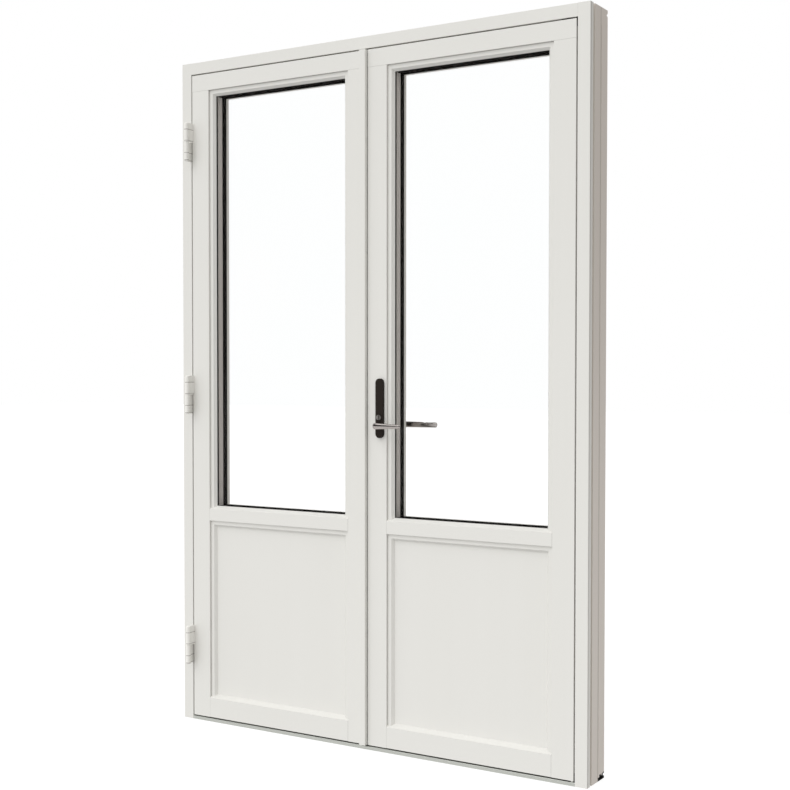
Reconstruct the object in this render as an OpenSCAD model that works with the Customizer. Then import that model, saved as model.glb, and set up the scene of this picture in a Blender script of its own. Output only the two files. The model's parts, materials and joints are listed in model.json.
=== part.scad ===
// Pair of glazed french doors in their own frame.
// Millimetres. X runs across the doors, Y from the room towards the outside, Z up.
// The origin is on the underside of the frame, in the middle of its width and depth.

/* [Frame] */
// Overall width of the frame
frame_w = 1390; // [1100:10:1800]
// Overall height of the frame
frame_h = 2090; // [1700:10:2500]
// Depth of the timber part of the frame
timber_d = 74; // [60:1:90]
// Depth of the outer metal part of the frame
outer_d = 44; // [36:1:60]
// Width of the frame's face
face_w = 36; // [28:1:50]
// How far the outer stop reaches past the frame's inner face
stop_w = 12; // [9:1:18]
// Radius on the long painted edges
edge_r = 1; // [1:0.5:4]

/* [Gaps] */
// Gap between a leaf and the frame
leaf_gap = 4; // [3:0.5:6]
// Gap between the two leaves
meet_gap = 4; // [3:0.5:6]
// Gap between the leaf's back and the outer stop
stop_gap = 4; // [3:0.5:6]
// Radial running clearance of pins and rods
run_fit = 0.05; // [0.02:0.01:0.1]
// Clearance round fixed inserts
seat_fit = 0.1; // [0.05:0.05:0.3]

/* [Threshold] */
// Height of the aluminium threshold plate
sill_h = 10; // [8:1:16]
// Height of the black outer threshold core
core_h = 18; // [16:1:26]

/* [Leaves] */
// How much deeper a leaf is than the frame's timber
leaf_back = 6; // [0:1:8]
// Width of a stile's face
stile_w = 65; // [50:1:90]
// Height of the top rail's face
top_rail_h = 51; // [40:1:90]
// Height of the bottom rail's face
bottom_rail_h = 62; // [50:1:140]
// Height of the middle rail's face
mid_rail_h = 37; // [30:1:90]
// Height of the middle rail's lower edge
mid_rail_z = 641.5; // [450:1:900]
// Depth of the leaf's outer metal profile
clad_d = 12; // [10:1:18]
// Wall of the outer metal profiles
metal_t = 2; // [1.5:0.1:3]
// Slope of the left leaf's meeting edge over its depth
left_bevel = 6; // [5:0.5:8]
// Slope of the right leaf's meeting edge over its depth
right_bevel = 4; // [3:0.5:6]

/* [Beads] */
// Step from the leaf's face back to the bead
bead_step = 6.5; // [2:0.5:8]
// Width of the bead's flat
bead_flat = 12.5; // [10:0.5:18]
// Width of the bead's bevel
bead_bevel = 7; // [4:0.5:9]
// Depth of the bead's bevel
bevel_d = 9.5; // [5:0.5:12]
// Height of the sloped sill bead
sill_bead_h = 10; // [6:0.5:12]
// Width of the shadow line beside a bead
shadow_w = 1; // [0.8:0.1:2]

/* [Glass] */
// Thickness of one pane
pane_t = 4; // [3:1:6]
// Width of the space between the panes
space_t = 22; // [12:1:22]
// Thickness of the inner glazing gasket
gasket_t = 4; // [2:0.5:5]
// Clearance between the glass edge and the timber
glass_edge = 5; // [3:0.5:6]

/* [Left hinges] */
// Height of a hinge
hinge_h = 120; // [90:1:150]
// Radius of the hinge knuckle
knuckle_r = 7.5; // [6:0.5:10]
// Radius of the hinge pin
pin_r = 4; // [3:0.25:5]
// How far the knuckle's centre stands in front of the leaf
knuckle_out = 26; // [16:0.5:30]
// Thickness of the hinge plates
plate_t = 3.5; // [2.5:0.5:4]
// How far the plates reach into the gap
plate_in = 40; // [25:1:55]
// Lowest hinge, middle above the leaf's lower edge
hinge_low = 228; // [150:1:350]
// Highest hinge, middle below the leaf's upper edge
hinge_high = 211; // [150:1:350]

/* [Right pivots] */
// Pivot axis, in from the leaf's hinge edge
pivot_in = 6; // [6:0.5:9]
// Pivot axis, back from the leaf's face
pivot_back = 8; // [7:0.5:8]
// Radius of the pivot pins
pivot_r = 3.2; // [2.5:0.1:3.5]
// Length of a pivot pin inside the leaf
pivot_len = 16; // [10:1:22]

/* [Handle] */
// Height of the lever's axis
lever_z = 957; // [850:1:1150]
// Lever axis, in from the meeting edge
backset = 45; // [38:1:52]
// Width of the back plates
back_plate_w = 25; // [22:1:34]
// Height of the back plates
back_plate_h = 173; // [140:1:260]
// Thickness of the back plates
back_plate_t = 9; // [6:1:12]
// Lever axis above the back plate's lower end
lever_up = 36; // [30:1:60]
// Reach of the inner lever from its axis
inner_reach = 92; // [80:1:140]
// Reach of the outer lever from its axis
outer_reach = 121; // [80:1:140]
// Height of the lever at its neck
lever_h = 17; // [12:1:22]
// Height of the lever near its tip
lever_tip_h = 11; // [8:1:16]
// Thickness of the lever
lever_t = 9; // [6:1:12]
// How far the lever stands off the back plate
lever_off = 30; // [24:1:45]
// Radius of the lever's neck
neck_r = 7.5; // [6:0.5:9]
// Side of the square spindle
spindle_w = 8; // [7:1:9]
// Thumb turn above the lever's axis
turn_up = 24; // [20:1:40]
// Radius of the thumb turn
turn_r = 7.5; // [5:0.5:9]

/* [Bolts] */
// Radius of the rods and flush bolts
rod_r = 4; // [3:0.5:5]
// Rods and flush bolts, in from the meeting edge
rod_in = 14; // [12:1:18]
// Travel of the rods and flush bolts
rod_travel = 13; // [8:1:13]
// Travel of the centre bolt
bolt_travel = 20; // [14:1:22]

/* [Cover strip] */
// Width of the cover strip
strip_w = 20.5; // [12:0.5:30]
// How far the cover strip reaches past the leaf's edge
strip_over = 2.5; // [0:0.5:2.5]
// Thickness of the cover strip
strip_t = 12; // [8:1:18]

/* [Fixing] */
// Outer radius of a fixing sleeve
sleeve_r = 8; // [6:0.5:10]
// Radius of the hole through a fixing sleeve
sleeve_bore = 5; // [3:0.5:6]
// Depth of the fixing sleeves from the frame's face
sleeve_y = 54; // [48:1:60]
// Distance between the head's two fixing sleeves
sleeve_gap = 760; // [500:10:1000]

/* [Hidden] */
$fn = 48;

paint = "#e4e3de";
metal_paint = "#dddcd6";
alloy = "#b9bbb5";
black = "#1f1e1c";
steel = "#8f8d88";
side_paint = "#b8ada2";

frame_d = timber_d + outer_d;
inner_x = frame_w/2 - face_w;
leaf_x = inner_x - leaf_gap;
leaf_w = leaf_x - meet_gap/2;
leaf_top = frame_h - face_w - leaf_gap;
leaf_low = sill_h + leaf_gap;
leaf_h = leaf_top - leaf_low;
leaf_d = timber_d + leaf_back;
wood_d = leaf_d - clad_d;
stop_y = leaf_d + stop_gap;

bead_w = bead_flat + bead_bevel;
bead_y = bead_step + bevel_d;
glass_y = bead_y + gasket_t;
glass_t = 2*pane_t + space_t;
rebate_y = glass_y + glass_t;
field_u0 = stile_w;
field_u1 = leaf_w - stile_w;
glass_z0 = mid_rail_z + mid_rail_h;
glass_z1 = leaf_top - top_rail_h;
panel_z0 = leaf_low + bottom_rail_h;
panel_z1 = mid_rail_z;

axis_u = -leaf_gap/2;
hinge_zs = [leaf_low + hinge_low, (leaf_low + hinge_low + leaf_top - hinge_high)/2, leaf_top - hinge_high];
groove_y = 20;
groove_w = 10;
groove_d = 6;
lining_r = 0.8;

pivot_u = pivot_in;
pivot_plate_t = 3;
pivot_plate_l = 46;
shoe_l = 44;
shoe_y0 = 4;
shoe_y1 = 18;
shoe_h = 20;

lever_u = leaf_w - backset;
plate_low = lever_z - lever_up;
lock_z0 = lever_z - 60;
lock_z1 = lever_z + 105;
lock_t = 14;
lock_y = leaf_d/2 - lock_t/2;
lock_in = backset + 14;
face_plate_t = 3;
face_plate_w = 18;
face_plate_end = 60;
rod_y = leaf_d/2;
rod_u = leaf_w - rod_in;
strike_r = rod_r + 3.5;
strike_l = rod_travel + 6;
bolt_h = 26;
bolt_t = 8;
bolt_z = lever_z + 46;
screw_r = 2.2;
plate_bolt_r = 2.5;
plate_bolt_zs = [plate_low + 12, plate_low + back_plate_h - 20];
flush_len = 180;
joint_gap = 0.1;
lip_h = 7;

// ---- outlines -------------------------------------------------------------

// Points of an arc, from angle a0 to a1
function arc(cx, cy, r, a0, a1, n = 5) =
    [for (i = [0:n]) let (a = a0 + (a1 - a0)*i/n) [cx + r*cos(a), cy + r*sin(a)]];

// Board w wide and d deep, with its two front edges rounded by r0 and r1
function board(w, d, r0, r1) = concat(
    [[w, d], [0, d]],
    r0 > 0 ? arc(r0, r0, r0, 180, 270) : [[0, 0]],
    r1 > 0 ? arc(w - r1, r1, r1, 270, 360) : [[w, 0]]);

function swap(points) = [for (p = points) [p[1], p[0]]];

// The part is drawn from the frame's inner face; this puts the origin at mid depth
module from_face() {
    translate([0, -frame_d/2, 0]) children();
}

// Outline in depth and height, run along X from x0 to x1
module along_x(x0, x1) {
    translate([x0, 0, 0]) rotate([90, 0, 90]) linear_extrude(x1 - x0) children();
}

// Outline in width and height, run along Y from y0 to y1
module along_y(y0, y1) {
    translate([0, y1, 0]) rotate([90, 0, 0]) linear_extrude(y1 - y0) children();
}

module box(x0, x1, y0, y1, z0, z1) {
    translate([x0, y0, z0]) cube([x1 - x0, y1 - y0, z1 - z0]);
}

module rod_y(r, y0, y1) {
    translate([0, y0, 0]) rotate([-90, 0, 0]) cylinder(r = r, h = y1 - y0);
}

module rod_x(r, x0, x1) {
    translate([x0, 0, 0]) rotate([0, 90, 0]) cylinder(r = r, h = x1 - x0);
}

// Leaf parts are drawn from the leaf's hinge edge; side is -1 left, 1 right
module leaf_side(side) {
    from_face() {
        if (side < 0) {
            translate([-leaf_x, 0, 0]) children();
        } else {
            translate([leaf_x, 0, 0]) mirror([1, 0, 0]) children();
        }
    }
}

// ---- frame ----------------------------------------------------------------

// Timber jamb drawn at the left, from the frame's outer edge inwards
module jamb_board() {
    difference() {
        union() {
            linear_extrude(frame_h - face_w) polygon(board(face_w, timber_d, edge_r, edge_r));
            translate([0, 0, frame_h - face_w]) linear_extrude(face_w)
                polygon(board(face_w, timber_d, edge_r, 0));
        }
        translate([-1, groove_y, -1]) cube([groove_d + 1, groove_w, frame_h + 2]);
    }
}

module jamb_left() {
    color(paint) from_face() translate([-frame_w/2, 0, 0]) difference() {
        jamb_board();
        for (z = hinge_zs) {
            box(face_w - plate_t - seat_fit, face_w + 1, -1, plate_in + seat_fit,
                z - hinge_h/2 - seat_fit, z + seat_fit);
            for (p = hinge_screw_spots(z - hinge_h/4)) {
                translate(p) rod_x(screw_r + seat_fit, face_w - 32, face_w);
            }
        }
    }
}

module jamb_right() {
    color(paint) from_face() translate([frame_w/2, 0, 0]) mirror([1, 0, 0]) jamb_board();
}

module head() {
    color(paint) from_face() difference() {
        along_x(-inner_x, inner_x) translate([0, frame_h - face_w]) difference() {
            polygon(swap(board(face_w, timber_d, edge_r, edge_r)));
            translate([groove_y, face_w - groove_d]) square([groove_w, groove_d + 1]);
        }
        for (s = [-1, 1]) {
            translate([s*(leaf_x - rod_u), rod_y, frame_h - face_w - 1])
                cylinder(r = strike_r + seat_fit, h = strike_l + 1 + seat_fit);
            translate([s*sleeve_gap/2, sleeve_y, frame_h - face_w - 1])
                cylinder(r = sleeve_r + seat_fit, h = face_w + 2);
        }
        pivot_plate_room(frame_h - face_w - 1, frame_h - face_w + pivot_plate_t + seat_fit);
    }
}

// Outer metal profile of a jamb, drawn from the frame's outer edge inwards
module outer_outline() {
    neck = 2;
    wall = metal_t;
    difference() {
        polygon([
            [neck, timber_d], [face_w, timber_d], [face_w, stop_y],
            [face_w + stop_w, stop_y], [face_w + stop_w, frame_d], [0, frame_d],
            [0, timber_d + neck], [neck, timber_d + neck]
        ]);
        translate([wall + neck, timber_d + wall + neck])
            square([face_w/2 - neck - 1.5*wall, outer_d - neck - 2*wall]);
        translate([face_w/2 + wall/2, stop_y + wall])
            square([face_w/2 + stop_w - 1.5*wall, frame_d - stop_y - 2*wall]);
    }
}

module outer_jamb_left() {
    color(metal_paint) from_face() difference() {
        translate([-frame_w/2, 0, 0]) linear_extrude(outer_head_z()) outer_outline();
        along_x(-frame_w, 0) core_outline();
    }
}

module outer_jamb_right() {
    color(metal_paint) from_face() difference() {
        translate([frame_w/2, 0, 0]) mirror([1, 0, 0]) linear_extrude(outer_head_z()) outer_outline();
        along_x(0, frame_w) core_outline();
    }
}

function outer_head_z() = frame_h - face_w - stop_w;

// Outer metal profile of the head, closed at both ends, its corners filled down to the jamb profiles
module outer_head() {
    slot_h = 9;
    slot_d = 7;
    slot_z = frame_h - 18;
    wall = metal_t;
    neck = 2;
    end = frame_w/2 - 1.5*wall;
    color(metal_paint) from_face() difference() {
        union() {
            along_x(-frame_w/2, frame_w/2) difference() {
                polygon([
                    [timber_d, frame_h - neck], [timber_d, frame_h - face_w], [stop_y, frame_h - face_w],
                    [stop_y, outer_head_z()], [frame_d, outer_head_z()], [frame_d, frame_h],
                    [timber_d + neck, frame_h], [timber_d + neck, frame_h - neck]
                ]);
                polygon([
                    [frame_d + 1, slot_z], [frame_d + 1, slot_z + slot_h],
                    [frame_d - slot_d, slot_z + slot_h*0.6], [frame_d - slot_d, slot_z + slot_h*0.3]
                ]);
            }
            box(-frame_w/2, -inner_x, timber_d, stop_y, outer_head_z(), frame_h - face_w);
            box(inner_x, frame_w/2, timber_d, stop_y, outer_head_z(), frame_h - face_w);
        }
        box(-end, end, stop_y + wall, frame_d - wall - slot_d, outer_head_z() + wall, frame_h - face_w + wall);
        box(-end, end, timber_d + wall + neck, frame_d - wall - slot_d,
            frame_h - face_w + 2*wall, frame_h - 2*wall);
    }
}

module threshold_plate() {
    rib = 3;
    hollows = [[shoe_y1 + rib, 8], [rod_y + rod_r + 2*rib, 3*rib]];
    color(alloy) from_face() difference() {
        along_x(-inner_x, inner_x) difference() {
            polygon(concat([[timber_d, 0], [timber_d, sill_h], [1.5, sill_h], [0, sill_h - 1.5], [0, 0]]));
            for (h = hollows) {
                translate([h[0], -1]) square([h[1], sill_h - rib + 1]);
            }
        }
        for (s = [-1, 1]) {
            translate([s*(leaf_x - rod_u), rod_y, -1])
                cylinder(r = rod_r + 1, h = sill_h + 2);
        }
        pivot_plate_room(sill_h - pivot_plate_t - seat_fit, sill_h + 1);
    }
}

// Outline of the threshold core: a ledge, a kerb, a gutter, then a lip that rises outwards
module core_outline() {
    kerb = 10;
    gutter = 6;
    polygon([
        [timber_d, -0.5], [frame_d + 1, -0.5], [frame_d + 1, core_h], [frame_d, core_h],
        [stop_y + kerb + gutter + 2, core_h - 2.5], [stop_y + kerb + gutter + 1, core_h - 5.5],
        [stop_y + kerb + 1, core_h - 5.5], [stop_y + kerb, core_h - 1], [stop_y, core_h - 2],
        [stop_y, sill_h], [timber_d, sill_h]
    ]);
}

module threshold_core() {
    channel = 8;
    color(black) from_face() along_x(-frame_w/2, frame_w/2) difference() {
        intersection() {
            core_outline();
            square([frame_d, frame_h]);
        }
        translate([frame_d - channel, core_h/2 - 3]) square([channel + 1, core_h/2 - 1.5]);
        translate([stop_y + metal_t, metal_t + 1])
            square([frame_d - stop_y - channel - 3*metal_t, sill_h - 2*metal_t]);
    }
}

// Seal against the outer stop on the two sides and the head, and a lip on the threshold
module frame_seal() {
    seal_w = 6;
    y0 = leaf_d + 0.6;
    u0 = face_w + stop_w - 1 - seal_w;
    top = frame_h - u0;
    low = sill_h + lip_h + 0.5;
    color(black) from_face() {
        for (s = [-1, 1]) {
            x = s*(frame_w/2 - u0);
            box(min(x, x - s*seal_w), max(x, x - s*seal_w), y0, stop_y, low, top);
        }
        box(-frame_w/2 + u0 + seal_w + joint_gap, frame_w/2 - u0 - seal_w - joint_gap,
            y0, stop_y, top - seal_w, top);
        box(-frame_w/2 + u0, frame_w/2 - u0, y0, stop_y - joint_gap, sill_h, sill_h + lip_h);
    }
}

module fixing_sleeves() {
    color(steel) from_face() for (s = [-1, 1]) {
        translate([s*sleeve_gap/2, sleeve_y, frame_h - face_w]) difference() {
            cylinder(r = sleeve_r, h = face_w);
            translate([0, 0, -1]) cylinder(r = sleeve_bore, h = face_w + 2);
        }
    }
}

module rod_strikes() {
    color(steel) from_face() for (s = [-1, 1]) {
        translate([s*(leaf_x - rod_u), rod_y, frame_h - face_w]) difference() {
            cylinder(r = strike_r, h = strike_l);
            translate([0, 0, -1]) cylinder(r = rod_r + 1, h = strike_l - 1);
        }
    }
}

// ---- left hinges ----------------------------------------------------------

function hinge_screw_spots(z) =
    [for (y = [plate_in*0.35, plate_in*0.75]) for (k = [-1, 1]) [0, y, z + k*hinge_h/8]];

module hinge_frame_halves() {
    half = hinge_h/2 - 0.25;
    color(paint) leaf_side(-1) for (z = hinge_zs) {
        translate([0, 0, z - hinge_h/2]) difference() {
            union() {
                translate([axis_u, -knuckle_out, half]) mirror([0, 0, 1]) knuckle_shell(half);
                box(-leaf_gap - plate_t, -leaf_gap, -knuckle_out, plate_in, 0, half);
            }
            translate([axis_u, -knuckle_out, 3]) cylinder(r = pin_r + run_fit, h = half);
            for (p = hinge_screw_spots(hinge_h/4)) {
                translate(p) rod_x(screw_r + seat_fit, -leaf_gap - plate_t - 1, 1);
            }
        }
    }
}

module hinge_leaf_halves() {
    half = hinge_h/2 - 0.25;
    color(paint) leaf_side(-1) for (z = hinge_zs) {
        translate([0, 0, z + 0.25]) difference() {
            union() {
                translate([axis_u, -knuckle_out, 0]) knuckle_shell(half);
                box(0, plate_t, -knuckle_out, plate_in, 0, half);
            }
            translate([axis_u, -knuckle_out, -1]) cylinder(r = pin_r + run_fit, h = half - 3);
            for (p = hinge_screw_spots(hinge_h/4 - 0.25)) {
                translate(p) rod_x(screw_r + seat_fit, -1, plate_t + 1);
            }
        }
    }
}

// Solid knuckle with two turned rings and a chamfered end
module knuckle_shell(h) {
    ring = 0.5;
    split = h*0.62;
    rotate_extrude() polygon([
        [0, 0], [knuckle_r - ring, 0], [knuckle_r, ring], [knuckle_r, split - ring],
        [knuckle_r - ring, split], [knuckle_r - ring, split + 1], [knuckle_r, split + 1 + ring],
        [knuckle_r, h - 2], [knuckle_r - 2, h], [0, h]
    ]);
}

module hinge_pins() {
    half = hinge_h/2;
    color(steel) leaf_side(-1) for (z = hinge_zs) {
        translate([axis_u, -knuckle_out, z - half + 3]) cylinder(r = pin_r, h = hinge_h - 8);
    }
}

// Countersunk screw of the given length along X from the plate's face at u0
module screw(u0, length, way) {
    translate([u0, 0, 0]) mirror([way < 0 ? 1 : 0, 0, 0]) rod_x(screw_r, 0, length);
}

module frame_hinge_screws() {
    color(steel) leaf_side(-1) for (z = hinge_zs) {
        for (p = hinge_screw_spots(z - hinge_h/4)) {
            translate(p) screw(-leaf_gap - 0.2, 31, -1);
        }
    }
}

module leaf_hinge_screws() {
    color(steel) leaf_side(-1) for (z = hinge_zs) {
        for (p = hinge_screw_spots(z + hinge_h/4)) {
            translate(p) screw(0.2, 31, 1);
        }
    }
}

// ---- right pivots ---------------------------------------------------------

// Room for a pivot's plate in the head or the threshold, between two heights
module pivot_plate_room(z0, z1) {
    leaf_from_face() box(-leaf_gap, pivot_plate_l, shoe_y0 - seat_fit, shoe_y1 + seat_fit, z0, z1);
}

// The right leaf's place, for what is already drawn from the frame's face
module leaf_from_face() {
    translate([leaf_x, 0, 0]) mirror([1, 0, 0]) children();
}

module pivot_brackets() {
    z_top = frame_h - face_w;
    color(steel) from_face() leaf_from_face() {
        box(-leaf_gap + seat_fit, pivot_plate_l - seat_fit, shoe_y0, shoe_y1, z_top, z_top + pivot_plate_t);
        translate([pivot_u, pivot_back, leaf_top - pivot_len])
            cylinder(r = pivot_r, h = z_top - leaf_top + pivot_len);
        box(-leaf_gap + seat_fit, pivot_plate_l - seat_fit, shoe_y0, shoe_y1, sill_h - pivot_plate_t, sill_h);
        translate([pivot_u, pivot_back, sill_h]) cylinder(r = pivot_r, h = leaf_low - sill_h + pivot_len);
        translate([pivot_u, pivot_back, sill_h]) cylinder(r = pivot_r + 2, h = leaf_gap - 0.3);
    }
}

module pivot_shoes() {
    color(steel) leaf_side(1) for (z = [leaf_low, leaf_top - shoe_h]) {
        low = z == leaf_low;
        difference() {
            box(2, shoe_l, shoe_y0, shoe_y1, z, z + shoe_h);
            translate([pivot_u, pivot_back, low ? z - 1 : z + shoe_h - pivot_len - 0.5])
                cylinder(r = pivot_r + run_fit, h = pivot_len + 1.5);
        }
    }
}

module shoe_room() {
    box(2 - seat_fit - 3, shoe_l + seat_fit, shoe_y0 - seat_fit, shoe_y1 + seat_fit,
        leaf_low - 1, leaf_low + shoe_h + seat_fit);
    box(2 - seat_fit - 3, shoe_l + seat_fit, shoe_y0 - seat_fit, shoe_y1 + seat_fit,
        leaf_top - shoe_h - seat_fit, leaf_top + 1);
}

// ---- leaves ---------------------------------------------------------------

function bevel(side) = side < 0 ? left_bevel : right_bevel;

// What the lock, the bolts and the handle cut out of the meeting stile and rails
module leaf_cuts(side) {
    if (side > 0) {
        translate([rod_u, rod_y, leaf_low - 1]) cylinder(r = rod_r + run_fit, h = leaf_h + 2);
        box(leaf_w - lock_in - seat_fit, leaf_w + 1, lock_y - seat_fit, lock_y + lock_t + seat_fit,
            lock_z0 - seat_fit, lock_z1 + seat_fit);
        box(leaf_w - face_plate_in() - seat_fit, leaf_w + 1, rod_y - face_plate_w/2 - seat_fit,
            rod_y + face_plate_w/2 + seat_fit, leaf_low + face_plate_end - seat_fit,
            leaf_top - face_plate_end + seat_fit);
        translate([lever_u, 0, lever_z]) rod_y(follower_r() + 1, -1, leaf_d + 1);
        for (z = plate_bolt_zs) {
            translate([lever_u, 0, z]) rod_y(plate_bolt_r + seat_fit, -1, leaf_d + 1);
        }
    } else {
        for (z = [leaf_low - 1, leaf_top - flush_len - 2]) {
            translate([rod_u, rod_y, z]) cylinder(r = rod_r + run_fit, h = flush_len + 3);
        }
        box(leaf_w - strike_box_d(), leaf_w + 1, rod_y - bolt_t/2 - 3, rod_y + bolt_t/2 + 3,
            bolt_z - bolt_h/2 - 4, bolt_z + bolt_h/2 + 4);
    }
}

function follower_r() = spindle_w*0.5*sqrt(2) + 2.5;
function face_plate_in() = face_plate_t + bevel(1);
function strike_box_d() = bolt_travel + 2;

module hinge_stile(side) {
    color(paint) leaf_side(side) difference() {
        translate([0, 0, leaf_low]) linear_extrude(leaf_h - top_rail_h)
            polygon(board(stile_w, wood_d, edge_r, lining_r));
        if (side < 0) {
            for (z = hinge_zs) {
                box(-1, plate_t + seat_fit, -1, plate_in + seat_fit, z - seat_fit, z + hinge_h/2 + seat_fit);
                for (p = hinge_screw_spots(z + hinge_h/4)) {
                    translate(p) rod_x(screw_r + seat_fit, 0, 32);
                }
            }
        } else {
            shoe_room();
        }
    }
}

module meeting_stile(side) {
    b = bevel(side)*wood_d/leaf_d;
    r = side < 0 ? 0 : edge_r;
    color(paint) leaf_side(side) difference() {
        translate([leaf_w - stile_w, 0, leaf_low]) linear_extrude(leaf_h - top_rail_h)
            polygon(concat(
                [[stile_w - b, wood_d], [0, wood_d]],
                arc(lining_r, lining_r, lining_r, 180, 270),
                r > 0 ? arc(stile_w - r, r, r, 270, 360) : [[stile_w, 0]]));
        leaf_cuts(side);
    }
}

module top_rail(side) {
    b = bevel(side)*wood_d/leaf_d;
    color(paint) leaf_side(side) difference() {
        along_x(0, leaf_w) translate([0, leaf_top - top_rail_h])
            polygon(swap(board(top_rail_h, wood_d, lining_r, edge_r)));
        meeting_wedge(b, leaf_top - top_rail_h - 1, leaf_top + 1);
        leaf_cuts(side);
        if (side > 0) {
            shoe_room();
        }
    }
}

// What the sloped meeting edge leaves of a full-width piece between two heights
module meeting_wedge(b, z0, z1) {
    translate([leaf_w, 0, z0]) linear_extrude(z1 - z0)
        polygon([[0, 0], [1, 0], [1, wood_d + 1], [-b*(wood_d + 1)/wood_d, wood_d + 1]]);
}

module mid_rail(side) {
    color(paint) leaf_side(side) along_x(field_u0, field_u1) translate([0, mid_rail_z])
        polygon(swap(board(mid_rail_h, wood_d, lining_r, 0)));
}

module bottom_rail(side) {
    color(paint) leaf_side(side) along_x(field_u0, field_u1) translate([0, leaf_low])
        polygon(swap(board(bottom_rail_h, wood_d, edge_r, 0)));
}

// Moulded bead outline: distance into the field, depth
bead_outline = [
    [0, bead_y], [0, bead_step + 3], [shadow_w, bead_step + 3], [shadow_w, bead_step],
    [bead_flat, bead_step], [bead_w, bead_y]
];

// Three mitred moulded beads and a sloped sill bead round one field
module bead_set(z0, z1) {
    for (flip = [0, 1]) {
        difference() {
            translate([flip ? field_u1 : field_u0, 0, z0]) mirror([flip, 0, 0])
                linear_extrude(z1 - z0) polygon(bead_outline);
            translate([0, 0, -joint_gap]) along_y(-1, bead_y + 1) polygon([
                [field_u0 - 1, z1 + 1], [field_u0 + bead_w + 1, z1 - bead_w - 1],
                [field_u1 - bead_w - 1, z1 - bead_w - 1], [field_u1 + 1, z1 + 1]
            ]);
            along_x(field_u0 - 1, field_u1 + 1) translate([0, z0 - 1 + joint_gap]) polygon([
                [-1, 0], [bead_y + 1, 0], [bead_y + 1, sill_bead_h + 1],
                [bead_y, sill_bead_h + 1], [0, 1], [-1, 1]
            ]);
        }
    }
    intersection() {
        along_x(field_u0, field_u1) translate([0, z1]) mirror([0, 1]) polygon(swap(bead_outline));
        along_y(-1, bead_y + 1) polygon([
            [field_u0, z1], [field_u0 + bead_w + 1, z1 - bead_w - 1],
            [field_u1 - bead_w - 1, z1 - bead_w - 1], [field_u1, z1]
        ]);
    }
    along_x(field_u0, field_u1) translate([0, z0])
        polygon([[0, 0], [bead_y, 0], [bead_y, sill_bead_h]]);
}

module beads(side) {
    color(paint) leaf_side(side) {
        bead_set(glass_z0, glass_z1);
        bead_set(panel_z0, panel_z1);
    }
}

module panel(side) {
    color(paint) leaf_side(side)
        box(field_u0, field_u1, bead_y, rebate_y, panel_z0, panel_z1);
}

module panes(side) {
    color([0.75, 0.85, 0.85, 0.35]) leaf_side(side) for (y = [glass_y, glass_y + pane_t + space_t]) {
        box(field_u0 + glass_edge, field_u1 - glass_edge, y, y + pane_t,
            glass_z0 + glass_edge, glass_z1 - glass_edge);
    }
}

// Four bars round a field between its outline taken in by a and by b, closed at
// the foot between heights f0 and f1 above the field's lower edge
module bars(a, b, f0, f1, y0, y1, z0, z1) {
    for (flip = [0, 1]) {
        u = flip ? field_u1 : field_u0;
        s = flip ? -1 : 1;
        box(min(u + s*a, u + s*b), max(u + s*a, u + s*b), y0, y1, z0 + f0, z1 - a);
    }
    box(field_u0 + b + joint_gap, field_u1 - b - joint_gap, y0, y1, z1 - b, z1 - a);
    box(field_u0 + b + joint_gap, field_u1 - b - joint_gap, y0, y1, z0 + f0, z0 + f1);
}

module spacer(side) {
    color(steel) leaf_side(side)
        bars(glass_edge, bead_w, glass_edge, sill_bead_h, glass_y + pane_t, glass_y + pane_t + space_t,
            glass_z0, glass_z1);
}

// Thin gasket inside the glass, and the deep outer carrier round each field
module gaskets(side) {
    color(black) leaf_side(side) {
        bars(glass_edge, bead_w, glass_edge, sill_bead_h, bead_y, glass_y, glass_z0, glass_z1);
        bars(0, bead_w, 0, sill_bead_h, rebate_y, wood_d, glass_z0, glass_z1);
        bars(0, bead_w, 0, sill_bead_h, rebate_y, wood_d, panel_z0, panel_z1);
    }
}

// Outer metal bars: two stiles and three rails, with hairline joints
module cladding(side) {
    lip = 3;
    u1 = leaf_w - bevel(side);
    a = field_u0 + bead_w;
    b = field_u1 - bead_w;
    rails = [
        [leaf_low, panel_z0 + sill_bead_h],
        [panel_z1 - bead_w, glass_z0 + sill_bead_h],
        [glass_z1 - bead_w, leaf_top]
    ];
    color(metal_paint) leaf_side(side) difference() {
        union() {
            box(0, a, wood_d, leaf_d, leaf_low, leaf_top);
            box(b, u1, wood_d, leaf_d, leaf_low, leaf_top);
            for (r = rails) {
                box(a + joint_gap, b - joint_gap, wood_d, leaf_d, r[0], r[1]);
            }
        }
        box(lip, stile_w, wood_d - 1, leaf_d - metal_t, leaf_low + lip, leaf_top - lip);
        if (side < 0) {
            box(leaf_w - stile_w, u1 - lip, wood_d - 1, leaf_d - metal_t, leaf_low + lip, leaf_top - lip);
        }
        if (side > 0) {
            translate([lever_u, 0, lever_z]) rod_y(follower_r() + 1, wood_d - 1, leaf_d + 1);
            for (z = plate_bolt_zs) {
                translate([lever_u, 0, z]) rod_y(plate_bolt_r + seat_fit, wood_d - 1, leaf_d + 1);
            }
        }
    }
}

// Sloped drip rail across the foot of a leaf, clear of the outer stops
module weatherboard(side) {
    low = core_h + 6;
    reach = 20;
    color(metal_paint) leaf_side(side)
        along_x(stop_w + 6, leaf_w - 12) polygon([
            [leaf_d, low + 4], [leaf_d + reach - 3, low], [leaf_d + reach, low],
            [leaf_d + reach, low + 5], [leaf_d + 6, low + 26], [leaf_d, low + 28]
        ]);
}

module cover_strip() {
    r = 1;
    color(paint) leaf_side(-1) translate([leaf_w + strip_over - strip_w, -strip_t, leaf_low])
        linear_extrude(leaf_h) polygon(board(strip_w, strip_t, r, r));
}

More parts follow.
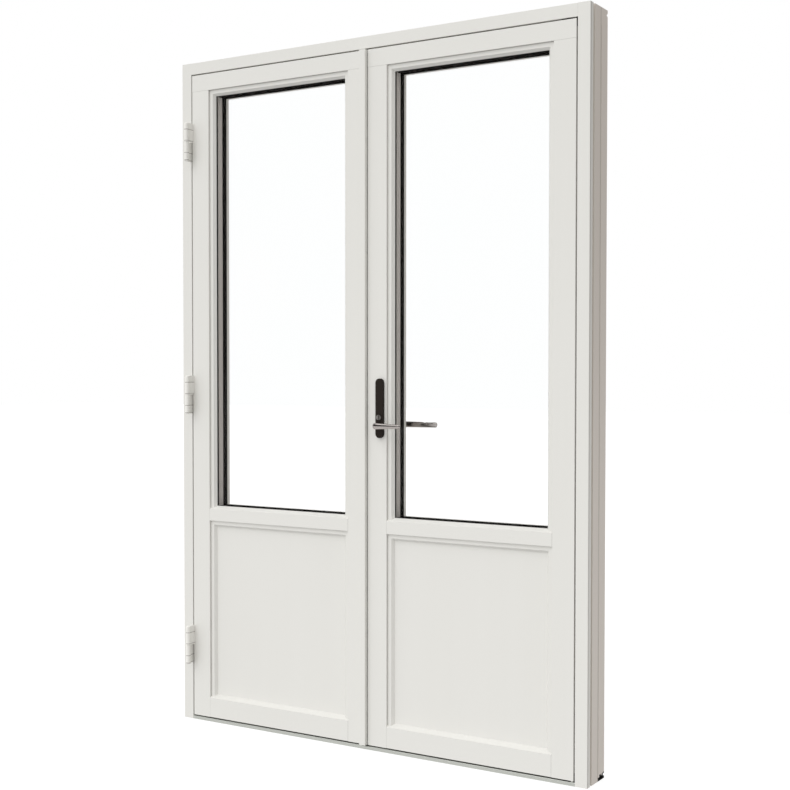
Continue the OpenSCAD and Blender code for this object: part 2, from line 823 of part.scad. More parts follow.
module meeting_seal() {
    y0 = 27;
    seal_d = 6;
    reach = 3;
    edge = left_bevel*y0/leaf_d;
    end = 3;
    color(black) leaf_side(-1) difference() {
        translate([leaf_w - edge, y0, leaf_low + end]) linear_extrude(leaf_h - 2*end) polygon([
            [0, 0], [reach - 1, 0], [reach, seal_d/2], [reach - 1, seal_d],
            [-left_bevel*seal_d/leaf_d, seal_d]
        ]);
        box(leaf_w - 20, leaf_w + 20, y0 - 1, y0 + seal_d + 1, bolt_z - bolt_h/2 - 8, bolt_z + bolt_h/2 + 8);
    }
}

// ---- bolts and lock -------------------------------------------------------

module bolt_strike() {
    lip = 3;
    w = rod_y + bolt_t/2 + lip;
    color(steel) leaf_side(-1) difference() {
        box(leaf_w - strike_box_d() + seat_fit, leaf_w - left_bevel, rod_y - bolt_t/2 - lip + seat_fit,
            w - seat_fit, bolt_z - bolt_h/2 - 4 + seat_fit, bolt_z + bolt_h/2 + 4 - seat_fit);
        box(leaf_w - strike_box_d() + 2, leaf_w + 1, rod_y - bolt_t/2 - 1, rod_y + bolt_t/2 + 1,
            bolt_z - bolt_h/2 - 1, bolt_z + bolt_h/2 + 1);
    }
}

module flush_bolt_top() {
    color(steel) leaf_side(-1) translate([rod_u, rod_y, leaf_top - 1 - flush_len])
        cylinder(r = rod_r, h = flush_len);
}

module flush_bolt_bottom() {
    color(steel) leaf_side(-1) translate([rod_u, rod_y, leaf_low + 1])
        cylinder(r = rod_r, h = flush_len);
}

module rod_top() {
    color(steel) leaf_side(1) translate([rod_u, rod_y, lock_z1 + rod_travel])
        cylinder(r = rod_r, h = leaf_top - 1 - lock_z1 - rod_travel);
}

module rod_bottom() {
    color(steel) leaf_side(1) translate([rod_u, rod_y, leaf_low + 1])
        cylinder(r = rod_r, h = lock_z0 - rod_travel - leaf_low - 1);
}

module lock_case() {
    wall = 1.5;
    color(steel) leaf_side(1) difference() {
        box(leaf_w - lock_in, leaf_w - face_plate_in(), lock_y, lock_y + lock_t, lock_z0, lock_z1);
        translate([lever_u, 0, lever_z]) rod_y(follower_r() + run_fit, lock_y - 1, lock_y + lock_t + 1);
        for (z = plate_bolt_zs) {
            translate([lever_u, 0, z]) rod_y(plate_bolt_r + seat_fit, lock_y - 1, lock_y + lock_t + 1);
        }
        box(leaf_w - lock_in + wall, leaf_w, rod_y - bolt_t/2 - 0.2, rod_y + bolt_t/2 + 0.2,
            bolt_z - bolt_h/2 - 0.2, bolt_z + bolt_h/2 + 0.2);
    }
}

module follower() {
    color(steel) leaf_side(1) translate([lever_u, 0, lever_z]) difference() {
        rod_y(follower_r(), lock_y, lock_y + lock_t);
        box(-spindle_w/2 - seat_fit, spindle_w/2 + seat_fit, lock_y - 1, lock_y + lock_t + 1,
            -spindle_w/2 - seat_fit, spindle_w/2 + seat_fit);
    }
}

module centre_bolt() {
    tail = lock_in - face_plate_in() - 8;
    color(steel) leaf_side(1)
        box(leaf_w - face_plate_in() - tail, leaf_w - bevel(1) - 0.5, rod_y - bolt_t/2, rod_y + bolt_t/2,
            bolt_z - bolt_h/2, bolt_z + bolt_h/2);
}

module face_plate() {
    color(alloy) leaf_side(1) difference() {
        box(leaf_w - face_plate_in(), leaf_w - bevel(1), rod_y - face_plate_w/2, rod_y + face_plate_w/2,
            leaf_low + face_plate_end, leaf_top - face_plate_end);
        box(leaf_w - 20, leaf_w + 1, rod_y - bolt_t/2 - 0.4, rod_y + bolt_t/2 + 0.4,
            bolt_z - bolt_h/2 - 0.4, bolt_z + bolt_h/2 + 0.4);
    }
}

// ---- handle ---------------------------------------------------------------

// Long plate with full-round ends, its lever axis at the origin
module plate_outline() {
    r = back_plate_w/2;
    translate([-r, -lever_up + r]) square([2*r, back_plate_h - 2*r]);
    for (z = [-lever_up + r, back_plate_h - lever_up - r]) {
        translate([0, z]) circle(r = r);
    }
}

module inner_back_plate() {
    color(black) leaf_side(1) translate([lever_u, 0, lever_z]) difference() {
        along_y(-back_plate_t, 0) plate_outline();
        rod_y(neck_r + run_fit, -back_plate_t - 1, 1);
        for (z = plate_bolt_zs) {
            translate([0, 0, z - lever_z]) rod_y(plate_bolt_r, -back_plate_t + 3, 1);
        }
        translate([0, 0, turn_up]) rod_y(3 + run_fit, -back_plate_t - 1, -2);
    }
}

module outer_back_plate() {
    color(black) leaf_side(1) translate([lever_u, leaf_d, lever_z]) difference() {
        along_y(0, back_plate_t) plate_outline();
        rod_y(neck_r + run_fit, -1, back_plate_t + 1);
        for (z = plate_bolt_zs) {
            translate([0, 0, z - lever_z]) {
                rod_y(plate_bolt_r + seat_fit, -1, back_plate_t + 1);
                rod_y(plate_bolt_r + 2 + seat_fit, back_plate_t - 3, back_plate_t + 1);
            }
        }
    }
}

module plate_bolts() {
    color(steel) leaf_side(1) for (z = plate_bolt_zs) {
        translate([lever_u, 0, z]) {
            rod_y(plate_bolt_r, -back_plate_t + 3, leaf_d + back_plate_t - 1);
            rod_y(plate_bolt_r + 2, leaf_d + back_plate_t - 3, leaf_d + back_plate_t - 0.5);
        }
    }
}

// Lever bar outline: a round at the axis, tapering to a rounded tip reach away
module bar_outline(reach) {
    r0 = lever_h/2;
    r1 = lever_tip_h/2;
    c = reach - r1;
    a = asin((r0 - r1)/c);
    polygon(concat(
        arc(0, 0, r0, 90 - a, 270 + a, 16),
        arc(c, 0, r1, -90 + a, 90 - a, 12)));
}

// Lever drawn with its axis along Y, standing off towards -Y from y = 0, pointing to -u
module lever(reach) {
    difference() {
        union() {
            rod_y(neck_r, -lever_off - back_plate_t, -0.5);
            mirror([1, 0, 0]) along_y(-lever_off - back_plate_t - lever_t, -lever_off - back_plate_t)
                bar_outline(reach);
        }
        box(-spindle_w/2 - seat_fit, spindle_w/2 + seat_fit, -lever_off, 1,
            -spindle_w/2 - seat_fit, spindle_w/2 + seat_fit);
    }
}

module inner_lever() {
    color(steel) leaf_side(1) translate([lever_u, 0, lever_z]) lever(inner_reach);
}

module outer_lever() {
    color(steel) leaf_side(1) translate([lever_u, leaf_d, lever_z]) mirror([0, 1, 0]) lever(outer_reach);
}

module spindle() {
    color(steel) leaf_side(1) translate([lever_u, 0, lever_z])
        box(-spindle_w/2, spindle_w/2, -lever_off + 2, leaf_d + lever_off - 2, -spindle_w/2, spindle_w/2);
}

module thumb_turn() {
    grip_t = 3;
    grip_l = 6;
    color(steel) leaf_side(1) translate([lever_u, 0, lever_z + turn_up]) {
        rod_y(3, -back_plate_t - 1, -3);
        rod_y(turn_r, -back_plate_t - 4, -back_plate_t - 0.3);
        box(-grip_t/2, grip_t/2, -back_plate_t - 4 - grip_l, -back_plate_t - 3.5, -turn_r*0.85, turn_r*0.85);
    }
}

// ---- nodes ----------------------------------------------------------------

jamb_left();
jamb_right();
head();
outer_jamb_left();
outer_jamb_right();
outer_head();
threshold_plate();
threshold_core();
frame_seal();
fixing_sleeves();
rod_strikes();
hinge_frame_halves();
hinge_pins();
frame_hinge_screws();
pivot_brackets();
hinge_stile(-1);  // left_hinge_stile
meeting_stile(-1);  // left_meeting_stile
top_rail(-1);  // left_top_rail
mid_rail(-1);  // left_mid_rail
bottom_rail(-1);  // left_bottom_rail
panel(-1);  // left_panel
beads(-1);  // left_beads
panes(-1);  // left_panes
spacer(-1);  // left_spacer
gaskets(-1);  // left_gaskets
cladding(-1);  // left_cladding
weatherboard(-1);  // left_weatherboard
cover_strip();
meeting_seal();
hinge_leaf_halves();
leaf_hinge_screws();
bolt_strike();
flush_bolt_top();
flush_bolt_bottom();
hinge_stile(1);  // right_hinge_stile
meeting_stile(1);  // right_meeting_stile
top_rail(1);  // right_top_rail
mid_rail(1);  // right_mid_rail
bottom_rail(1);  // right_bottom_rail
panel(1);  // right_panel
beads(1);  // right_beads
panes(1);  // right_panes
spacer(1);  // right_spacer
gaskets(1);  // right_gaskets
cladding(1);  // right_cladding
weatherboard(1);  // right_weatherboard
lock_case();
face_plate();
inner_back_plate();
outer_back_plate();
plate_bolts();
pivot_shoes();
inner_lever();
outer_lever();
spindle();
follower();
thumb_turn();
rod_top();
rod_bottom();
centre_bolt();
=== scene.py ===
import json
import math

import bmesh
import bpy
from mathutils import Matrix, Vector


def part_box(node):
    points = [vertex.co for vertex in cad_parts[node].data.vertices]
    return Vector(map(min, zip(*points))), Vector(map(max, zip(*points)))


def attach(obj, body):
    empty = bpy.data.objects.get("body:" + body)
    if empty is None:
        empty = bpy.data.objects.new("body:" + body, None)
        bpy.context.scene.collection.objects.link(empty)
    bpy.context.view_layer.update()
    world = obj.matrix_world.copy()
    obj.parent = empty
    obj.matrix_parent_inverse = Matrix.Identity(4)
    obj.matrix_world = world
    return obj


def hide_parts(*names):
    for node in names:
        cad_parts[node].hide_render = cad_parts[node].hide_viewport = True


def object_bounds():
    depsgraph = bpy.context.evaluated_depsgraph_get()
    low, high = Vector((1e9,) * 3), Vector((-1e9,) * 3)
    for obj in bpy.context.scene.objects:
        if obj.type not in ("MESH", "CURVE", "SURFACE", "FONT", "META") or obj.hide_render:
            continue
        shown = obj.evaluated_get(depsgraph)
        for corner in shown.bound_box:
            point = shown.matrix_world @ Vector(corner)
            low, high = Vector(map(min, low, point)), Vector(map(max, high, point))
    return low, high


# Metres throughout: X along the frame, Y from the room outwards, Z up from the floor

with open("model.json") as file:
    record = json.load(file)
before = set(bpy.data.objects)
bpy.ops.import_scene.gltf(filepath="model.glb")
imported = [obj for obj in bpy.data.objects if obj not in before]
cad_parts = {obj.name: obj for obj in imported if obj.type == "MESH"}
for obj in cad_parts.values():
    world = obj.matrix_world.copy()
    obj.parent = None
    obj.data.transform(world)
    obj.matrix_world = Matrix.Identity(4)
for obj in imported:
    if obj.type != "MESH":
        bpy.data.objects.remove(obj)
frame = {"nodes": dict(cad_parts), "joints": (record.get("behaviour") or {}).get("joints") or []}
cad_low, cad_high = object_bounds()
nodes = frame["nodes"]
scene = bpy.context.scene

# ---- camera ---------------------------------------------------------------

FRAME_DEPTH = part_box("threshold_core")[1].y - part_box("threshold_plate")[0].y
EYE = Vector((2.0807, -3.3037 - FRAME_DEPTH / 2, 1.1194))
EYE_TURN = math.radians(32.299)
EYE_DROP = math.radians(1.566)
SENSOR_MM = 36.0
LENS_MM = 60.7625
SHIFT = (0.03833, 0.01427)
NEAREST, FARTHEST = 0.05, 60


def make_camera():
    data = bpy.data.cameras.new("view_camera")
    data.sensor_width = SENSOR_MM
    data.lens = LENS_MM
    data.shift_x, data.shift_y = SHIFT
    data.dof.use_dof = False
    data.clip_start, data.clip_end = NEAREST, FARTHEST
    camera = bpy.data.objects.new("view_camera", data)
    camera.location = EYE
    camera.rotation_euler = (math.pi / 2 - EYE_DROP, 0, EYE_TURN)
    scene.collection.objects.link(camera)
    scene.camera = camera


make_camera()

# ---- shader writing -------------------------------------------------------


class Value:
    """A shader socket that can be used in ordinary arithmetic."""

    def __init__(self, shader, socket):
        self.shader, self.socket = shader, socket

    def _math(self, operation, *inputs):
        return self.shader.node("ShaderNodeMath", {"operation": operation}, dict(enumerate(inputs))).value()

    def __add__(self, other):
        return self._math("ADD", self, other)

    __radd__ = __add__

    def __sub__(self, other):
        return self._math("SUBTRACT", self, other)

    def __rsub__(self, other):
        return self._math("SUBTRACT", other, self)

    def __mul__(self, other):
        return self._math("MULTIPLY", self, other)

    __rmul__ = __mul__

    def __gt__(self, other):
        return self._math("GREATER_THAN", self, other)

    def __lt__(self, other):
        return self._math("LESS_THAN", self, other)

    def __abs__(self):
        return self._math("ABSOLUTE", self)

    def clamp(self):
        return self._math("MINIMUM", self._math("MAXIMUM", self, 0.0), 1.0)

    def within(self, low, high):
        """1 between two limits and 0 elsewhere."""
        return (self > low) * (self < high)


class Node:
    """A made shader node, whose outputs are read as Values."""

    def __init__(self, shader, node):
        self.shader, self.node = shader, node

    def value(self, name=0):
        return Value(self.shader, self.node.outputs[name])


class Shader:
    """One material or sky: nodes come from node(), sums from arithmetic on Value."""

    def __init__(self, name, holder=None):
        self.material = holder or bpy.data.materials.new(name)
        self.material.use_nodes = True
        self.tree = self.material.node_tree
        self.tree.nodes.clear()

    def node(self, kind, settings=None, inputs=None):
        made = self.tree.nodes.new(kind)
        for name, setting in (settings or {}).items():
            if name == "stops":
                self._set_stops(made.color_ramp, setting)
            else:
                setattr(made, name, setting)
        for name, source in (inputs or {}).items():
            if isinstance(source, Value):
                self.tree.links.new(source.socket, made.inputs[name])
            else:
                made.inputs[name].default_value = source
        return Node(self, made)

    @staticmethod
    def _set_stops(ramp, stops):
        while len(ramp.elements) < len(stops):
            ramp.elements.new(0.5)
        for element, (place, colour) in zip(ramp.elements, stops):
            element.position, element.color = place, colour

    def place(self):
        return self.node("ShaderNodeTexCoord").value("Object")

    def axes(self, vector):
        parts = self.node("ShaderNodeSeparateXYZ", None, {0: vector})
        return [parts.value(axis) for axis in "XYZ"]

    def noise(self, scale, detail=2.0, rough=0.5, stretch=(1, 1, 1)):
        where = self.node("ShaderNodeMapping", None, {"Vector": self.place(), "Scale": stretch})
        return self.node("ShaderNodeTexNoise", None, {
            "Vector": where.value(), "Scale": scale, "Detail": detail, "Roughness": rough,
        }).value("Fac")

    def mix(self, factor, low, high):
        return self.node("ShaderNodeMix", {"data_type": "RGBA"}, {0: factor, 6: low, 7: high}).value(2)

    def bump(self, height, strength, distance):
        return self.node("ShaderNodeBump", None, {
            "Height": height, "Strength": strength, "Distance": distance,
        }).value("Normal")

    def surface(self, **sockets):
        named = {name.replace("_", " "): source for name, source in sockets.items()}
        shader = self.node("ShaderNodeBsdfPrincipled", None, named)
        self.node("ShaderNodeOutputMaterial", None, {"Surface": shader.value()})
        return self.material


def tone(*levels):
    """Display levels of 0 to 255, one for grey or three for a colour, as a linear colour."""
    linear = [((level / 255 + 0.055) / 1.055) ** 2.4 for level in levels]
    return (*(linear * 3)[:3], 1.0)


# ---- places on the frame --------------------------------------------------

JAMB_LOW, JAMB_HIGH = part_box("jamb_right")
SIDE_X = JAMB_HIGH.x
JAMB_FRONT, JAMB_BACK = JAMB_LOW.y, JAMB_HIGH.y
JAMB_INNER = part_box("head")[1].x
RAIL_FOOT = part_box("left_top_rail")[0].z
FIELD_EDGES = (-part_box("left_mid_rail")[0].x, -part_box("left_mid_rail")[1].x)

# The jambs' wall side, from the front: painted shade in a band along the front edge, the lining groove with
# painted shade in it, and painted shade before the seam to the metal
SKIN = 0.0005
EDGE_FRONT, EDGE_BACK = JAMB_FRONT + 0.0012, JAMB_FRONT + 0.0075
GROOVE_FRONT, GROOVE_BACK = JAMB_FRONT + 0.020, JAMB_FRONT + 0.030
GROOVE_DEPTH = 0.006
GROOVE_MARGIN = 0.001
SEAM_FRONT = JAMB_BACK - 0.005
MASK_DEPTH = 0.003

# Ring lines round the hinge knuckles, up and down from each hinge's middle
HINGES = [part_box(name) for name in ("hinge_leaf_halves", "hinge_frame_halves")]
HINGE_HALF = 0.060
HINGE_FOOT = min(low.z for low, high in HINGES) + HINGE_HALF
HINGE_TOP = max(high.z for low, high in HINGES) - HINGE_HALF
HINGE_MIDDLES = (HINGE_FOOT, (HINGE_FOOT + HINGE_TOP) / 2, HINGE_TOP)
RING_STEPS = (0.0396, 0.0044, -0.0336, -0.0570)
HINGE_RINGS = [middle + step for middle in HINGE_MIDDLES for step in RING_STEPS]

# ---- materials ------------------------------------------------------------

PAINT_LIGHT, PAINT_DARK = tone(231, 230, 226), tone(226, 225, 220)
PRIMER = tone(222, 214, 206)
# painted shade: a darker band along the front edge of the jambs' wall side
PAINTED_EDGE_SHADE = tone(200, 198, 193)
# painted shade: a darker tone inside the jambs' lining groove
PAINTED_GROOVE_SHADE = tone(218, 212, 204)
# painted shade: a darker band on the jambs' wall side just before the seam to the metal
PAINTED_SEAM_SHADE = tone(196, 189, 180)
JOINT_SHADE = tone(150, 146, 140)
COAT_TONES = (230, 227, 221), (224, 221, 214)
HAIRLINE, HAIRLINE_STRENGTH = 0.0003, 0.7
RING_LINE, RING_STRENGTH = 0.0011, 0.75
UPRIGHT = (1.0, 1.0, 0.04)
LEVEL = (0.04, 1.0, 1.0)


def jamb_side(s, colour, x, y):
    """Colours a jamb's wall side over its paint: primer, with painted shade along the front edge, in the
    lining groove and before the seam to the metal.
    """
    side = abs(x) > SIDE_X - SKIN
    in_groove = y.within(GROOVE_FRONT - GROOVE_MARGIN, GROOVE_BACK + GROOVE_MARGIN)
    groove = (abs(x) > SIDE_X - GROOVE_DEPTH - GROOVE_MARGIN) * in_groove
    colour = s.mix(side * (y > GROOVE_FRONT), colour, PRIMER)
    # painted shade along the front edge of the wall side
    colour = s.mix(side * y.within(EDGE_FRONT, EDGE_BACK), colour, PAINTED_EDGE_SHADE)
    # painted shade inside the lining groove
    colour = s.mix(groove, colour, PAINTED_GROOVE_SHADE)
    # painted shade next to the seam to the metal
    return s.mix(side * (y > SEAM_FRONT), colour, PAINTED_SEAM_SHADE)


def painted_timber(name, grain, joints=(), primed_with_shade=False):
    """Satin paint over planed timber with its grain along one axis.

    joints are glue lines: "x" on both leaves, "+x" on the right side only, or "z" at one height.
    """
    s = Shader(name)
    x, y, z = s.axes(s.place())
    streaks = s.noise(9.0, 4.0, 0.62, grain)
    cloud = s.noise(2.2, 3.0)
    orange_peel = s.noise(900.0, 1.0)
    fine = s.noise(60.0, 3.0, 0.6, grain)
    colour = s.mix((streaks * 0.6 + cloud * 0.4).clamp(), PAINT_DARK, PAINT_LIGHT)
    # primer on the jambs' wall side, with painted shade bands over it
    if primed_with_shade:
        colour = jamb_side(s, colour, x, y)
    for axis, place in joints:
        along = {"x": abs(x), "+x": x, "z": z}[axis]
        colour = s.mix((abs(along - place) < HAIRLINE) * HAIRLINE_STRENGTH, colour, JOINT_SHADE)
    return s.surface(
        Base_Color=colour,
        Roughness=0.36 + streaks * 0.10 + fine * 0.05,
        Normal=s.bump(streaks * 0.5 + fine * 0.35 + orange_peel * 0.15, 0.10, 0.0005),
        Specular_IOR_Level=0.35,
    )


def powder_coat(name, light, dark, masked=False, rings=()):
    """Powder coat with a fine pebble; masked leaves the wall side in primer, rings are dark level lines."""
    s = Shader(name)
    x, _, z = s.axes(s.place())
    pebble = s.noise(700.0, 2.0, 0.6)
    colour = s.mix(s.noise(3.0, 3.0), tone(*dark), tone(*light))
    if masked:
        colour = s.mix(abs(x) > SIDE_X - MASK_DEPTH, colour, PRIMER)
    for ring in rings:
        colour = s.mix((abs(z - ring) < RING_LINE) * RING_STRENGTH, colour, JOINT_SHADE)
    return s.surface(
        Base_Color=colour,
        Roughness=0.42 + pebble * 0.12,
        Normal=s.bump(pebble, 0.12, 0.0003),
    )


def brushed(name, light, dark, rough, stretch):
    """Brushed metal with fine lines along one axis and a few smudges."""
    s = Shader(name)
    lines = s.noise(120.0, 3.0, 0.6, stretch)
    smudge = s.noise(14.0, 2.0)
    return s.surface(
        Base_Color=s.mix(lines, tone(*dark), tone(*light)),
        Metallic=1.0,
        Roughness=rough + lines * 0.12 + smudge * 0.08,
        Normal=s.bump(lines, 0.06, 0.0002),
    )


def matt(name, light, dark, rough, grain_scale=420.0, strength=0.2, sheen=0.06):
    """Dull rubber, composite or lacquer with a fine grain."""
    s = Shader(name)
    cloud = s.noise(6.0, 2.0)
    grain = s.noise(grain_scale, 2.0, 0.6)
    return s.surface(
        Base_Color=s.mix((cloud * 0.7 + grain * 0.3).clamp(), tone(*dark), tone(*light)),
        Roughness=rough + grain * 0.12,
        Normal=s.bump(grain, strength, 0.0002),
        Specular_IOR_Level=sheen,
    )


def glazing(name):
    """Clear glass that hardly mirrors, with the faintest cool haze."""
    s = Shader(name)
    return s.surface(
        Base_Color=s.mix(s.noise(3.0, 2.0), tone(254, 255, 255), tone(255)),
        Roughness=0.0,
        IOR=1.12,
        Transmission_Weight=1.0,
    )


def spacer_with_painted_shade(name):
    """Grey metal spacer; the faces that point up or down are painted near black as shade."""
    s = Shader(name)
    level = abs(s.axes(s.node("ShaderNodeNewGeometry").value("Normal"))[2]) > 0.5
    fleck = s.noise(300.0, 2.0)
    grey = s.mix(fleck, tone(186, 180, 174), tone(176, 170, 164))
    return s.surface(
        # painted shade: faces that point up or down are coloured near black
        Base_Color=s.mix(level, grey, tone(34, 32, 30)),
        Roughness=0.5 + fleck * 0.1,
        Specular_IOR_Level=0.0,
    )


# A node takes the first finish with a word that its name holds
FINISHES = [
    (("outer_jamb", "outer_head"), powder_coat("frame_coat", *COAT_TONES, masked=True)),
    (("_cladding", "_weatherboard"), powder_coat("metal_coat", *COAT_TONES)),
    # painted light: the hinge coat is a brighter copy of the frame coat, to make up for the shading on the
    # round knuckles
    (("hinge_frame", "hinge_leaf"),
     powder_coat("hinge_coat", (240, 239, 234), (235, 233, 228), rings=HINGE_RINGS)),
    (("threshold_plate", "face_plate"),
     brushed("anodised_metal", (206, 208, 202), (190, 192, 186), 0.34, LEVEL)),
    (("threshold_core",), matt("black_composite", (34, 33, 31), (20, 19, 18), 0.7)),
    (("_seal", "_gaskets"), matt("seal_rubber", (38, 36, 34), (28, 26, 25), 0.62, sheen=0.0)),
    (("back_plate",), matt("black_metal", (48, 42, 38), (38, 33, 29), 0.42, 600.0, 0.1)),
    (("_spacer",), spacer_with_painted_shade("spacer_metal")),
    (("thumb_turn",), brushed("turn_steel", (172, 169, 166), (148, 145, 142), 0.30, LEVEL)),
    (("_lever",), brushed("handle_steel", (186, 180, 176), (150, 144, 141), 0.10, LEVEL)),
    (("_panes",), glazing("clear_glass")),
    (("jamb_",), painted_timber("jamb_paint", UPRIGHT, primed_with_shade=True)),
    (("head",), painted_timber("head_paint", LEVEL, [("+x", JAMB_INNER)])),
    (("_stile",), painted_timber("stile_paint", UPRIGHT, [("z", RAIL_FOOT)])),
    (("top_rail",), painted_timber("top_rail_paint", LEVEL)),
    (("_rail",), painted_timber("rail_paint", LEVEL, [("x", edge) for edge in FIELD_EDGES])),
    (("_panel", "_beads", "cover_strip"), painted_timber("panel_paint", UPRIGHT)),
    (("",), brushed("fitting_steel", (196, 196, 192), (170, 170, 166), 0.3, UPRIGHT)),
]


def finish_for(name):
    return next(material for words, material in FINISHES if any(word in name for word in words))


for name, piece in nodes.items():
    piece.data.materials.clear()
    piece.data.materials.append(finish_for(name))

# ---- rounded edges --------------------------------------------------------

SOFT_EDGES = {
    "inner_back_plate": 0.002,
    "outer_back_plate": 0.002,
    "thumb_turn": 0.0008,
    "left_weatherboard": 0.001,
    "right_weatherboard": 0.001,
}
SAME_POINT = 1e-5
SHARP = math.radians(40)


def soften(name, width):
    """Rounds a hard piece's sharp edges."""
    piece = nodes[name]
    weld = piece.modifiers.new("weld", "WELD")
    weld.merge_threshold = SAME_POINT
    bevel = piece.modifiers.new("round_edges", "BEVEL")
    bevel.width, bevel.segments = width, 3
    bevel.limit_method, bevel.angle_limit = "ANGLE", SHARP
    bevel.harden_normals = True


for name, width in SOFT_EDGES.items():
    soften(name, width)

# ---- levers ---------------------------------------------------------------

AXIS = Vector(next(joint["pos_m"] for joint in frame["joints"] if joint["name"] == "lever_lift"))
INNER_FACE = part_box("inner_back_plate")[0].y
OUTER_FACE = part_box("outer_back_plate")[1].y
STAND = 0.0345
ELBOW = 0.011
NECK_HALF, NECK_SWELL = 0.0075, 0.0012
SHOULDER_HALF = 0.0090
BAR_HALF = 0.0045
TIP_ROUND = 0.006
NECK_STOPS = (0, 0.25, 0.6, 1)
ELBOW_STEPS, BAR_STEPS, RING_POINTS = 12, 40, 40
ALONG_X, UP = Vector((1, 0, 0)), Vector((0, 0, 1))


def ramp(value, start, end):
    """0 up to start, 1 from end on and a straight rise between."""
    return min(1, max(0, (value - start) / (end - start)))


def lever_path(face, reach, way):
    """Middle line of a lever as points with directions: out from the plate, round the elbow, along X."""
    neck = STAND - ELBOW
    path = [(Vector((0, face + way * neck * t, 0)), Vector((0, way, 0))) for t in NECK_STOPS]
    for step in range(1, ELBOW_STEPS + 1):
        angle = math.pi / 2 * step / ELBOW_STEPS
        sine, cosine = math.sin(angle), math.cos(angle)
        bend = Vector((ELBOW * (1 - cosine), face + way * (neck + ELBOW * sine), 0))
        path.append((bend, Vector((sine, way * cosine, 0))))
    for step in range(1, BAR_STEPS + 1):
        x = ELBOW + (reach - ELBOW) * step / BAR_STEPS
        path.append((Vector((x, face + way * STAND, 0)), ALONG_X))
    return path


def lever_size(t, to_tip, tip_half):
    """Half height and half thickness of a lever at t, from 0 at the plate to 1 at the tip."""
    height = NECK_HALF + (SHOULDER_HALF - NECK_HALF) * ramp(t, 0, 0.35)
    height += (tip_half - height) * ramp(t, 0.35, 1) ** 0.9
    thickness = NECK_HALF + NECK_SWELL * ramp(t, 0, 0.12)
    thickness += (BAR_HALF - thickness) * ramp(t, 0.16, 0.25)
    rounding = math.sqrt(1 - (1 - ramp(to_tip, 0, TIP_ROUND)) ** 2)
    return height * rounding, thickness * rounding


def lever_ring(mesh, middle, along, height, thickness, dip):
    """One oval of points across a lever, its upper half lowered by dip."""
    side = along.cross(UP)
    ring = []
    for k in range(RING_POINTS):
        angle = 2 * math.pi * k / RING_POINTS
        lift = math.sin(angle)
        rise = lift * height - max(lift, 0) * dip
        ring.append(mesh.verts.new(AXIS + middle + side * (math.cos(angle) * thickness) + UP * rise))
    return ring


def lever_form(path, tip_half, dips):
    """Ovals swept along the path and joined into one closed skin."""
    lengths = [0.0]
    for (a, _), (b, _) in zip(path, path[1:]):
        lengths.append(lengths[-1] + (b - a).length)
    total = lengths[-1]
    mesh = bmesh.new()
    rings = []
    for (middle, along), length in zip(path, lengths):
        dip = sum(depth * math.exp(-((middle.x - at) / wide) ** 2) for at, wide, depth in dips)
        height, thickness = lever_size(length / total, total - length, tip_half)
        rings.append(lever_ring(mesh, middle, along, height, thickness, dip))
    for low, high in zip(rings, rings[1:]):
        for k in range(RING_POINTS):
            after = (k + 1) % RING_POINTS
            mesh.faces.new((low[k], low[after], high[after], high[k]))
    for ring in (rings[0], rings[-1]):
        mesh.faces.new(ring)
    bmesh.ops.recalc_face_normals(mesh, faces=mesh.faces)
    for face in mesh.faces:
        face.smooth = True
    return mesh


def make_lever(node, path, tip_half, dips=()):
    """Builds one lever in place of its CAD node; dips are shallow hollows as place, width and depth."""
    data = bpy.data.meshes.new(node + "_form")
    mesh = lever_form(path, tip_half, dips)
    mesh.to_mesh(data)
    mesh.free()
    data.materials.append(finish_for(node))
    piece = bpy.data.objects.new(node + "_form", data)
    scene.collection.objects.link(piece)
    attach(piece, "lever_set")
    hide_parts(node)


make_lever("inner_lever", lever_path(INNER_FACE, 0.092, -1), 0.0055)
make_lever("outer_lever", lever_path(OUTER_FACE, 0.121, 1), 0.0078,
           [(0.078, 0.003, 0.003), (0.090, 0.003, 0.0016), (0.100, 0.003, 0.001)])

# ---- floor and light ------------------------------------------------------

FLOOR_HALF = 30
FLOOR_GAP = 0.0005
FLOOR_GLOW = 0.86

# Sky light by direction, for red, green and blue: an even part, then what each axis adds
SKY = {
    "even": (0.755, 0.752, 0.745),
    "X": (-0.235, -0.24, -0.245),
    "Y": (-0.15, -0.15, -0.15),
    "Z": (0.40, 0.40, 0.40),
}

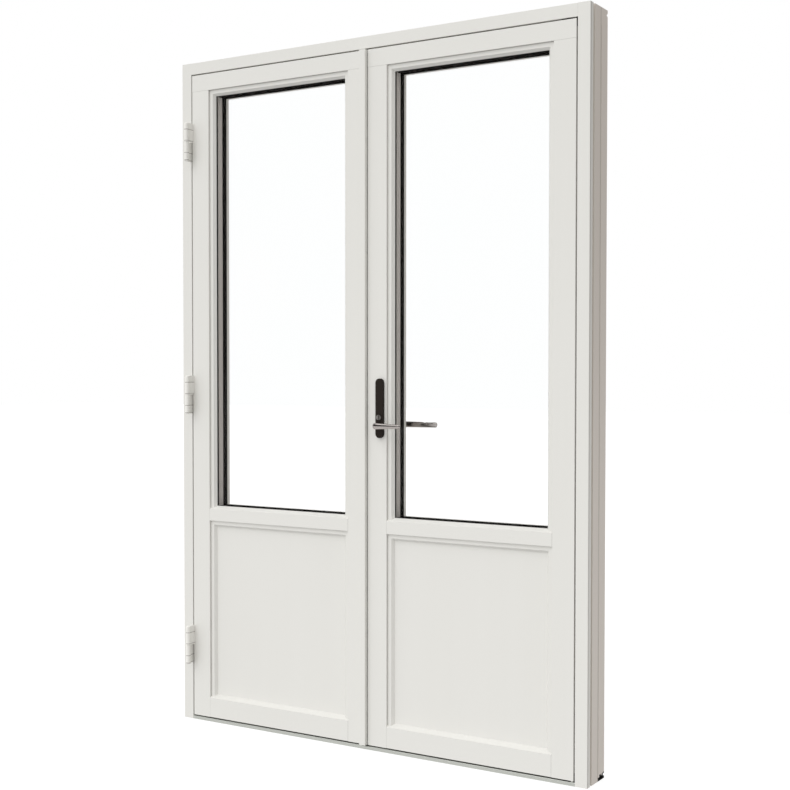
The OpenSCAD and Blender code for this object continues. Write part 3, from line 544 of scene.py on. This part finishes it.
# What shiny pieces mirror, from straight down (0) past the horizon (0.5) to straight up (1)
STUDIO = [
    (0.0, tone(225)),
    (0.49, tone(225)),
    (0.50, tone(30)),
    (0.66, tone(45)),
    (0.74, tone(185)),
    (1.0, tone(235)),
]
WHITE = tone(255)


def make_floor():
    """Pale glowing floor that lights no surface from below."""
    half = FLOOR_HALF
    mesh = bpy.data.meshes.new("floor")
    corners = [(-half, -half, 0), (half, -half, 0), (half, half, 0), (-half, half, 0)]
    mesh.from_pydata(corners, [], [(0, 1, 2, 3)])
    floor = bpy.data.objects.new("floor", mesh)
    floor.location.z = cad_low.z - FLOOR_GAP
    scene.collection.objects.link(floor)
    s = Shader("floor_paint")
    mesh.materials.append(s.surface(
        Base_Color=s.mix(s.noise(30.0, 2.0), tone(120), tone(124)),
        Roughness=0.9,
        Emission_Color=WHITE,
        Emission_Strength=FLOOR_GLOW,
    ))
    floor.visible_diffuse = False


def make_sun(name, direction, strength, spread):
    data = bpy.data.lights.new(name, "SUN")
    data.energy, data.angle = strength, math.radians(spread)
    sun = bpy.data.objects.new(name, data)
    sun.rotation_euler = Vector(direction).to_track_quat("-Z", "Y").to_euler()
    scene.collection.objects.link(sun)


def make_sky():
    """Soft light from all round for surfaces, the studio for mirrors, and white behind everything."""
    world = bpy.data.worlds.new("soft_sky")
    s = Shader("soft_sky", world)
    x, y, z = s.axes(s.node("ShaderNodeTexCoord").value("Generated"))
    levels = [even + x * along_x + y * along_y + z * along_z
              for even, along_x, along_y, along_z in zip(SKY["even"], SKY["X"], SKY["Y"], SKY["Z"])]
    soft = s.node("ShaderNodeCombineColor", None, dict(enumerate(levels))).value()
    studio = s.node("ShaderNodeValToRGB", {"stops": STUDIO}, {0: z * 0.5 + 0.5}).value("Color")
    rays = s.node("ShaderNodeLightPath")
    light = s.mix(rays.value("Is Glossy Ray"), soft, studio)
    seen = (rays.value("Is Camera Ray") + rays.value("Is Transmission Ray")).clamp()
    background = s.node("ShaderNodeBackground", None, {"Color": s.mix(seen, light, WHITE)})
    s.node("ShaderNodeOutputWorld", None, {"Surface": background.value()})
    scene.world = world


make_floor()
make_sky()
make_sun("key", (0.22, 0.62, -0.75), 0.62, 40)
scene.view_settings.view_transform = "Standard"
